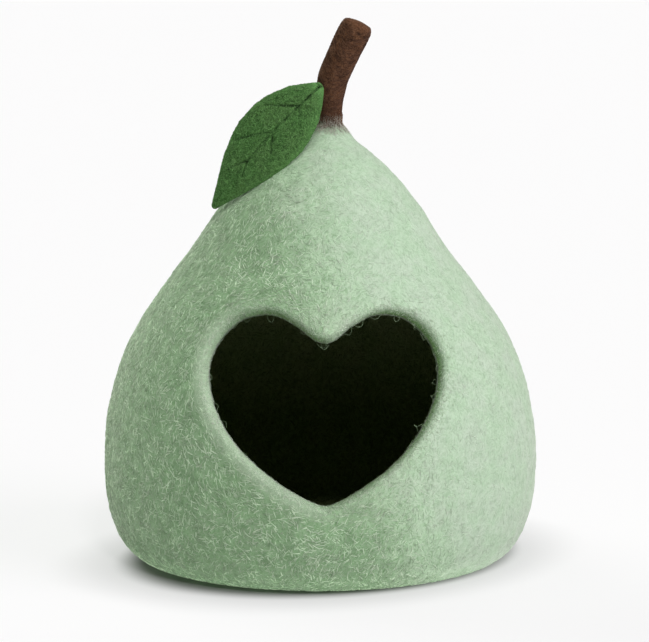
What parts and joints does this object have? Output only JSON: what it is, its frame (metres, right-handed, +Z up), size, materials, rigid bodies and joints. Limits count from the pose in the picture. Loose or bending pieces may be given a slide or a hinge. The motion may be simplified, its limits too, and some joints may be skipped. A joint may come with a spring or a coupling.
{
  "type": "felt cat cave",
  "caption": "Pear-shaped pet cave of thick wool felt: a hollow shell on a flat base, with a heart-shaped doorway in front, a felted stem on top and a felt leaf sewn beside it.",
  "frame": {"origin": "middle of the flat base, on the surface the cave stands on", "axes": "+Z up along the pear towards the stem; the doorway faces -Y; the stem leans towards +X and the leaf hangs towards -X"},
  "size_m": [0.4606, 0.4624, 0.5757],
  "materials": {
    "felt_mint": "boiled wool felt, lumpy and slightly hairy, mint green outside and dark green inside",
    "felt_brown": "needle-felted wool, fine fibres, brown",
    "felt_leaf": "thick pressed wool felt, leaf green, with pressed veins"
  },
  "bodies": {
    "root": {"body_shell": "felt_mint", "stem": "felt_brown", "leaf": "felt_leaf"}
  },
  "joints": []
}
